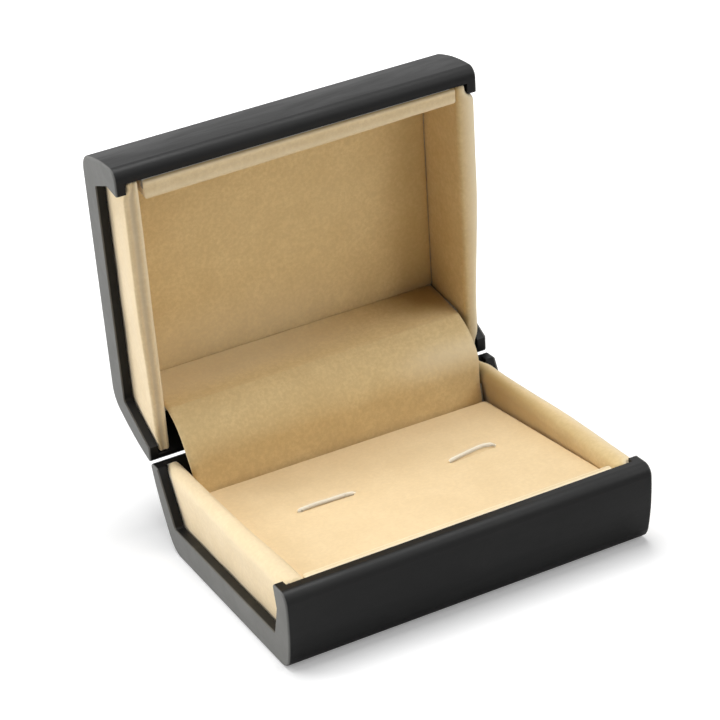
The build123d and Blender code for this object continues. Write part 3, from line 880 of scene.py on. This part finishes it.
def hinge_cover():
    """Cloth that rises behind the pad and bends over the hinges to the ceiling."""
    bm = cover_path()
    bm.normal_update()
    facing = {v.index: v.normal.copy() for v in bm.verts}
    pressed_and_highlight = []
    painted_shade = []
    for vert in bm.verts:
        x, y, z = vert.co
        along = (y - COVER_FACE) + (z - COVER_FOOT)
        crease = 0.34 * bump(31.6, 0.75, along) * (0.7 + 0.3 * drift((x, 0, 0), 0.06, 4.0))
        # Painted light above the crease on the left, a painted highlight band across the bend
        # on the right, painted shade in the upper right corner.
        lit = smooth(33.0, 42.0, along) * (1 - smooth(-12.0, 22.0, x))
        highlight_band = smooth(10.0, 27.0, x) * bump(19.5, 4.5, along)
        pressed_and_highlight.append(-0.65 * lit - 0.65 * highlight_band)
        painted_shade.append(0.75 * smooth(14.0, 33.0, x) * smooth(31.0, 41.0, along))
        slack = 0.16 * drift((x, y, z), 0.06, 6.0) + 0.05 * drift((x, y, z), 0.22, 9.0)
        push = (slack + crease) * smooth(2.0, 8.0, along)
        push *= 1 - smooth(40.0, 46.0, along) * 0.8
        widened = (0.75 if x > 0 else -0.55) * min(1, abs(x) / 8)
        vert.co.x = x * 0.993 - 0.2 + widened * smooth(15.5, 24.0, z)
        way = facing[vert.index]
        if way.y > 0 or (abs(way.y) < 0.2 and way.z > 0):
            way = -way
        vert.co += way * push
    made = piece("hinge_cover_cloth", bm, [VELVET], closed=False)
    mark_cloth(made, pressed_and_highlight, painted_shade)
    thicken(made, 0.5, 1)
    return made


# ---- pad
# Each slit in the pad's plane as (x, distance from the pad's rear edge):
# the rear edge, which curls up, and the front edge, both from the left.
LEFT_SLIT = (
    [
        (-22.1, 24.1), (-20.5, 23.4), (-17.5, 23.1), (-14.5, 23.4),
        (-12.0, 23.4), (-10.2, 23.45), (-8.9, 23.8), (-8.1, 24.5),
    ],
    [(-21.6, 24.5), (-18.6, 24.7), (-15.5, 24.7), (-12.5, 24.7), (-10.4, 24.8), (-8.9, 24.9)],
)
RIGHT_SLIT = (
    [
        (12.0, 25.0), (13.4, 24.2), (16.0, 23.6), (19.0, 22.9),
        (21.3, 22.5), (22.8, 22.75), (23.9, 23.6), (24.2, 24.4),
    ],
    [(13.0, 25.5), (15.7, 25.4), (18.9, 25.3), (21.0, 25.2), (22.6, 25.2), (23.8, 25.25)],
)
SLITS = (LEFT_SLIT, RIGHT_SLIT)
SLIT_ROWS = (22.2, 22.6, 23.0, 23.4, 23.8, 24.3, 24.8, 25.2, 25.7)     # finer mesh
DENT = (-7.4, -22.9)            # past the left slit

# Steps (into the slit, down) of the curled rear edge and of the front edge.
REAR_CURL = (
    (0.15, 0.03), (0.14, 0.08), (0.10, 0.14), (0.04, 0.18), (-0.04, 0.18),
    (-0.10, 0.14), (-0.05, 0.16), (0.0, 0.2), (0.0, 0.9),
)
FRONT_FOLD = ((0.10, 0.03), (0.08, 0.08), (0.05, 0.12)) + 5 * ((0.0, 0.2),) + ((0.0, 0.9),)
FOLD_RUN = 0.85                 # curl, fold and the gap between them
FOLD_SHARES = (0, 0, 0, 0, 0, 0.2, 0.25, 0.2, 0)    # of slit_reach(), at each step
WHITE_STEPS = 5                 # of the curl, which show the cut edge


def outline_loop(bm, slit):
    """Adds a smooth closed line round a slit in the pad's plane."""
    points = slit[0] + slit[1][::-1]
    curve = bpy.data.curves.new("slit outline", "CURVE")
    curve.dimensions = "3D"
    curve.resolution_u = 6
    spline = curve.splines.new("NURBS")
    spline.points.add(len(points) - 1)
    for point, (x, from_rear) in zip(spline.points, points):
        point.co = (x, -from_rear, 0.0, 1)
    spline.order_u = 3
    spline.use_cyclic_u = True
    holder = bpy.data.objects.new("slit outline", curve)
    mesh = bpy.data.meshes.new_from_object(holder)
    bm.from_mesh(mesh)
    bpy.data.objects.remove(holder)
    bpy.data.curves.remove(curve)
    bpy.data.meshes.remove(mesh)


def edge_at(line, x):
    """Distance from the pad's rear edge to a slit's edge, at x."""
    for (x0, v0), (x1, v1) in zip(line, line[1:]):
        if x0 <= x <= x1:
            return v0 + (v1 - v0) * (x - x0) / (x1 - x0)
    return line[0][1] if x < line[0][0] else line[-1][1]


def pad_warp(x, y):
    """Slight lift of the rear left corner, and soft waves."""
    back = 1 + y / PAD_LENGTH
    lift = 0.45 * (0.5 - x / (2 * PAD_HALF)) * smooth(0.2, 1.0, back)
    edge = min(PAD_HALF - abs(x), -y, y + PAD_LENGTH)
    wave = 0.09 * drift((x, y, 0), 0.055, 1.0) + 0.035 * drift((x, y, 0), 0.2, 8.0)
    return lift + wave * smooth(0, 5, edge)


def slit_lip(x, y):
    """The curled rear edges of the slits, and the dent past the left one."""
    lift = -0.3 * bump(DENT[0], 0.55, x) * bump(DENT[1], 0.5, y)
    for rear_line, front_line in SLITS:
        left, right = rear_line[0][0], rear_line[-1][0]
        if left - 1.5 < x < right + 1.5:
            fade = smooth(left - 0.5, left + 1.8, x)
            fade *= 1 - smooth(right - 0.9, right + 0.5, x)
            behind = y + edge_at(rear_line, x)
            lift += 0.5 * fade * bump(0, 1.1 if behind > 0 else 0.7, behind)
            ahead = -y - edge_at(front_line, x)
            lift -= 0.1 * fade * bump(0.2, 1.0, ahead)
    return lift


def slit_by(x):
    return LEFT_SLIT if x < 0 else RIGHT_SLIT


def curl_share(x, facing):
    """1 on a slit's rear edge, 0 on its front edge and left tip."""
    left = slit_by(x)[0][0][0]
    return (1 - smooth(-0.2, 0.5, facing)) * smooth(left + 0.2, left + 2.2, x)


def curl_size(x):
    """1 along a slit, less at the right tips, where there is no room."""
    at_left_slit = 0.4 * smooth(-8.9, -8.2, x) * (x < 0)
    return 1 - 0.55 * smooth(23.2, 24.1, x) - at_left_slit


def slit_reach(x):
    """How far the cloth under the curl runs on towards the front edge."""
    rear_line, front_line = slit_by(x)
    return max(0.0, edge_at(front_line, x) - edge_at(rear_line, x) - FOLD_RUN)


def open_edges(bm, above):
    """Edges of one face only, above a height."""
    single = [e for e in bm.edges if len(e.link_faces) == 1]
    return [e for e in single if min(v.co.z for v in e.verts) > above]


def slit_rims(bm):
    """Open edges round the slits, and at each vertex the way into the slit."""
    rims = open_edges(bm, -0.01)
    inward = {}
    for edge in rims:
        middle = (edge.verts[0].co + edge.verts[1].co) / 2
        away = middle - edge.link_faces[0].calc_center_median()
        line = (edge.verts[1].co - edge.verts[0].co).normalized()
        square = (away - line * away.dot(line)).normalized()
        for vert in edge.verts:
            inward[vert] = inward.get(vert, Vector()) + square
    return rims, {v: d.normalized() for v, d in inward.items()}


def turn_in(bm):
    """Curls the slits' rear edges and folds their front edges down."""
    ring, way = slit_rims(bm)
    for turn, (curl, fold) in enumerate(zip(REAR_CURL, FRONT_FOLD)):
        made = bmesh.ops.extrude_edge_only(bm, edges=ring)["geom"]
        fresh = new_verts(made)
        for vert in fresh:
            others = (e.other_vert(vert) for e in vert.link_edges)
            way[vert] = way[next(v for v in others if v in way and v not in fresh)]
            x = vert.co.x
            share = curl_share(x, way[vert].y)
            step_in = curl_size(x) * share * curl[0] + (1 - share) * fold[0]
            step_down = share * curl[1] + (1 - share) * fold[1]
            run_on = share * FOLD_SHARES[turn] * slit_reach(x)
            vert.co += way[vert] * step_in + Vector((0, -run_on, -step_down))
        for face in made:
            if isinstance(face, bmesh.types.BMFace):
                corners = [v for v in face.verts if v in way]
                curled = sum(curl_share(v.co.x, way[v].y) for v in corners) / len(corners)
                face.material_index = 1 if curled > 0.35 and turn < WHITE_STEPS else 0
        ring = [e for e in new_edges(made) if all(v in fresh for v in e.verts)]


def pad_cover():
    """Cloth over the pad: top, turned-down sides and two slits."""
    size = (2 * PAD_HALF, PAD_LENGTH, PAD_WRAP)
    bm = new_box(size, (0, -PAD_LENGTH / 2, -PAD_WRAP / 2))
    under = [f for f in bm.faces if f.normal.z < -0.5]
    bmesh.ops.delete(bm, geom=under, context="FACES")
    round_edges(bm, upper_edges(bm, 0.0), PAD_EDGE, 5)
    top = max(bm.faces, key=lambda f: f.calc_area())
    bmesh.ops.delete(bm, geom=[top], context="FACES_ONLY")
    for points in SLITS:
        outline_loop(bm, points)
    bmesh.ops.remove_doubles(bm, verts=bm.verts[:], dist=0.001)
    loops = [e for e in bm.edges if not e.link_faces]
    around = open_edges(bm, -0.001)
    bmesh.ops.triangle_fill(bm, use_beauty=True, use_dissolve=False, edges=loops + around)
    cut(bm, 0, steps(-PAD_HALF + 1.3, PAD_HALF - 1.3, 1.1))
    cut(bm, 1, [-y for y in steps(1.3, PAD_LENGTH - 1.3, 1.1)])
    cut(bm, 1, [-y for y in SLIT_ROWS])
    turn_in(bm)
    for vert in bm.verts:
        x, y, z = vert.co
        warp = pad_warp(x, y) * smooth(-PAD_WRAP, -0.5, z)
        vert.co.z = z + warp + slit_lip(x, y) * smooth(-3.0, -0.6, z)
        vert.co.x = x + PAD_STRETCH * smooth(27.0, 34.0, x)
    bmesh.ops.recalc_face_normals(bm, faces=bm.faces[:])
    if sum(f.normal.z * f.calc_area() for f in bm.faces) < 0:
        bmesh.ops.reverse_faces(bm, faces=bm.faces[:])
    cloths = [PAD_VELVET, CUT_EDGE]
    made = piece("pad_cover_cloth", bm, cloths, onto_pad(), closed=False)
    thicken(made, 0.45, -1).use_even_offset = False
    return made


def pad_foam():
    """White foam under the cloth, slotted where the cloth is slit."""
    half = PAD_HALF - FOAM_INSET
    back, front = -FOAM_INSET, -PAD_LENGTH + FOAM_INSET
    bm = new_grid(1, 1, (-half, half), (front, back))
    bmesh.ops.delete(bm, geom=bm.faces[:], context="FACES_ONLY")
    for points in SLITS:
        outline_loop(bm, points)
    bmesh.ops.remove_doubles(bm, verts=bm.verts[:], dist=0.001)
    bmesh.ops.triangle_fill(bm, use_beauty=True, use_dissolve=False, edges=bm.edges[:])
    cut(bm, 0, steps(-half, half, 1.6))
    cut(bm, 1, [-y for y in steps(FOAM_INSET, PAD_LENGTH - FOAM_INSET, 1.6)])
    bmesh.ops.translate(bm, vec=(0, 0, -FOAM_SINK), verts=bm.verts)
    made = bmesh.ops.extrude_face_region(bm, geom=bm.faces[:])["geom"]
    bmesh.ops.translate(bm, vec=(0, 0, -FOAM_DEPTH), verts=new_verts(made))
    cut(bm, 2, [-1.55, -3.15])
    for vert in bm.verts:
        x, y, z = vert.co
        lift = pad_warp(x, y) + slit_lip(x, y) * 0.8
        vert.co.z = z + lift * smooth(-5.0, -1.0, z)
    made = piece("pad_foam_block", bm, [WHITE_FOAM], onto_pad())
    return made


# ---- hinge springs
SPRING_START = (0, 30.472, 12.104)
SPRING_HEADING = math.radians(72.97)
SPRING_TURN = math.radians(44.94)
SPRING_STRAIGHT = 6.518         # along each leaf
SPRING_RADIUS = 6.0
SPRING_WIDTH = 4.0
SPRING_THICKNESS = 0.35


def straight_way(angle):
    return Vector((0, math.cos(angle), math.sin(angle)))


def hinge_spring(name, centre):
    """Flat spring that lies on both leaves and bends past the knuckles."""
    arc = SPRING_RADIUS * SPRING_TURN
    length = 2 * SPRING_STRAIGHT + arc
    size = (SPRING_WIDTH, length, SPRING_THICKNESS)
    bm = new_box(size, (centre, length / 2, -SPRING_THICKNESS / 2))
    cut(bm, 1, steps(0.3, length - 0.3, 0.45))
    round_edges(bm, [e for e in bm.edges if e.calc_face_angle(0) > 1], 0.06, 2)
    inside = straight_way(SPRING_HEADING - math.pi / 2)
    for vert in bm.verts:
        along, depth = vert.co.y, -vert.co.z
        bent = min(max(along - SPRING_STRAIGHT, 0), arc)
        angle = SPRING_HEADING - bent / SPRING_RADIUS
        across = straight_way(angle - math.pi / 2)
        place = Vector(SPRING_START)
        place += straight_way(SPRING_HEADING) * min(along, SPRING_STRAIGHT)
        place += inside * SPRING_RADIUS - across * SPRING_RADIUS
        place += straight_way(angle) * max(along - SPRING_STRAIGHT - arc, 0)
        place += across * depth
        vert.co = (vert.co.x, place.y, place.z)
    made = piece(name, bm, [SPRING_STRIP])
    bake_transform(made)
    return made


# ---- camera, light
CAMERA_PLACE = (-0.1810, -0.44884, 0.26235)
CAMERA_TARGET = (0.00028, 0.01005, 0.03879)
CAMERA_ROLL = math.radians(-8.93)
LENS = 133.23
LAMPS = [                       # name, place, size, watts
    ("top", (0.0, 0.0, 0.9), (0.6, 0.6), 7.4),
    ("low left", (-0.95, 0.15, 0.16), (0.5, 0.3), 2.5),
    ("front right", (0.6, -0.55, 0.6), (0.5, 0.5), 2.8),
    ("rear left", (-0.7, 0.7, 0.3), (0.5, 0.5), 5.2),
]
LAMP_AIM = (0, 0, 0.03)


def photo_camera():
    lens = bpy.data.cameras.new("camera")
    lens.sensor_width = 36.0
    lens.lens = LENS
    place = Vector(CAMERA_PLACE)
    view = (Vector(CAMERA_TARGET) - place).normalized()
    right = view.cross(Vector((0, 0, 1))).normalized()
    up = right.cross(view)
    leaned_up = up * math.cos(CAMERA_ROLL) - right * math.sin(CAMERA_ROLL)
    leaned_right = right * math.cos(CAMERA_ROLL) + up * math.sin(CAMERA_ROLL)
    matrix = Matrix((leaned_right, leaned_up, -view)).transposed().to_4x4()
    matrix.translation = place
    camera = bpy.data.objects.new("camera", lens)
    bpy.context.scene.collection.objects.link(camera)
    camera.matrix_world = matrix
    bpy.context.scene.camera = camera


def soft_lamp(name, place, size, watts):
    lamp = bpy.data.lights.new(name, "AREA")
    lamp.shape = "RECTANGLE"
    lamp.size, lamp.size_y = size
    lamp.energy = watts
    stand = bpy.data.objects.new(name, lamp)
    bpy.context.scene.collection.objects.link(stand)
    stand.location = place
    facing = Vector(place) - Vector(LAMP_AIM)
    stand.rotation_euler = facing.to_track_quat("Z", "Y").to_euler()


def studio():
    """White surroundings that are seen and mirrored but light little."""
    world = bpy.data.worlds.new("studio")
    bpy.context.scene.world = world
    world.use_nodes = True
    bench = Bench(world.node_tree)
    back = world.node_tree.nodes["Background"]
    back.inputs["Color"].default_value = (1, 1, 1, 1)
    seen = bench.add("ShaderNodeLightPath").outputs
    shown = bench.math("MAXIMUM", seen["Is Camera Ray"], seen["Is Glossy Ray"])
    shown = bench.math("MAXIMUM", shown, seen["Is Transmission Ray"])
    bench.join(bench.ramp(shown, 0.0, 1.0, 0.03, 1.0), back.inputs["Strength"])
    for lamp in LAMPS:
        soft_lamp(*lamp)


def pale_floor():
    """Plain floor that keeps the shadow and whitens away from the box."""
    bm = bmesh.new()
    bmesh.ops.create_grid(bm, x_segments=8, y_segments=8, size=3000.0)
    material, bench, shader = fresh_material("pale floor")
    where = bench.object_place()
    cloud = bench.noise(where, 60.0, 4.0)
    tone = bench.mix(cloud, (0.86, 0.86, 0.86, 1), (0.89, 0.89, 0.89, 1))
    bench.join(tone, shader.inputs["Base Color"])
    shader.inputs["Roughness"].default_value = 0.9
    shader.inputs["Specular IOR Level"].default_value = 0.1
    seen = bench.add("ShaderNodeLightPath").outputs
    shader.inputs["Emission Strength"].default_value = 1.0
    far = bench.add("ShaderNodeVectorMath", operation="LENGTH")
    bench.join(where, far.inputs[0])
    glow = bench.ramp(far.outputs["Value"], 0.12, 0.5, 0.25, 1.0)
    shown = bench.times(seen["Is Camera Ray"], glow)
    glowing = bench.mix(shown, (0, 0, 0, 1), (1, 1, 1, 1))
    bench.join(glowing, shader.inputs["Emission Color"])
    made = piece("floor", bm, [material], closed=False)


# ---- making
photo_camera()
studio()
pale_floor()
dress_cad_nodes()

SIDE_PANELS = {
    "base_left_panel": dict(
        cloth=LIT_PANEL_VELVET, seed=1.0, side=-1, on_lid=False, inner=BASE_INNER, lip=BASE_LIP,
        roll=1.4, drop=2.2, swell=0.75, bulge=0.95, painted_rim_highlight=0.3,
    ),
    "base_right_panel": dict(
        cloth=VELVET, seed=2.0, side=1, on_lid=False, inner=BASE_INNER, lip=BASE_LIP,
        roll=1.4, drop=2.3, swell=2.1, tuck=0.4, painted_rim_highlight=0.8,
    ),
    "lid_left_panel": dict(
        cloth=LIT_PANEL_VELVET, seed=5.0, side=-1, on_lid=True, inner=LID_LEFT_INNER, lip=LID_LIP,
        roll=0.75, drop=0.75, swell=0.95, groove=0.5, flat_rim=0.8, painted_rim_highlight=0.9,
    ),
    "lid_right_panel": dict(
        cloth=SHADED_VELVET, seed=6.0, side=1, on_lid=True, inner=LID_RIGHT_INNER, lip=LID_LIP,
        roll=0.95, drop=1.2, swell=2.1, lean=0.42, painted_rim_highlight=1.15,
    ),
}
for name, measures in SIDE_PANELS.items():
    panel = side_panel(f"{name}_cloth", **measures)
    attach(panel, "lid" if measures["on_lid"] else "base")
    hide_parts(f"{name}_velvet")

base_front = front_panel(
    "base_front_panel_cloth", seed=3.0, on_lid=False, ends=(-33.7, 33.7), thickness=2.0,
    foot=10.0, lip=BASE_LIP, groove=0.05, painted_rim_highlight=1.5,
)
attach(base_front, "base")
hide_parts("base_front_panel_velvet")
lid_front = front_panel(
    "lid_front_panel_cloth", seed=5.0, on_lid=True, ends=(-34.1, 35.3), thickness=3.1,
    foot=4.5, lip=LID_LIP, groove=0.3, painted_rim_highlight=0.65, flat_rim=0.1,
    spread=(1.25, -0.0145), dip=0.5,
)
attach(lid_front, "lid")
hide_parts("lid_front_panel_velvet")

ceiling = lid_ceiling()
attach(ceiling, "lid")
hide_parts("lid_ceiling_velvet")

cover = hinge_cover()
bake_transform(cover)
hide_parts("hinge_cover")

pad_cloth = pad_cover()
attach(pad_cloth, "base")
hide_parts("pad_velvet")
foam = pad_foam()
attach(foam, "base")
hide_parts("pad_foam")
for word, centre in (("left", -HINGE_CENTRE), ("right", HINGE_CENTRE)):
    spring = hinge_spring(f"{word}_hinge_strip", centre)
    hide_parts(f"{word}_hinge_spring")

bpy.context.scene.view_settings.view_transform = "Standard"
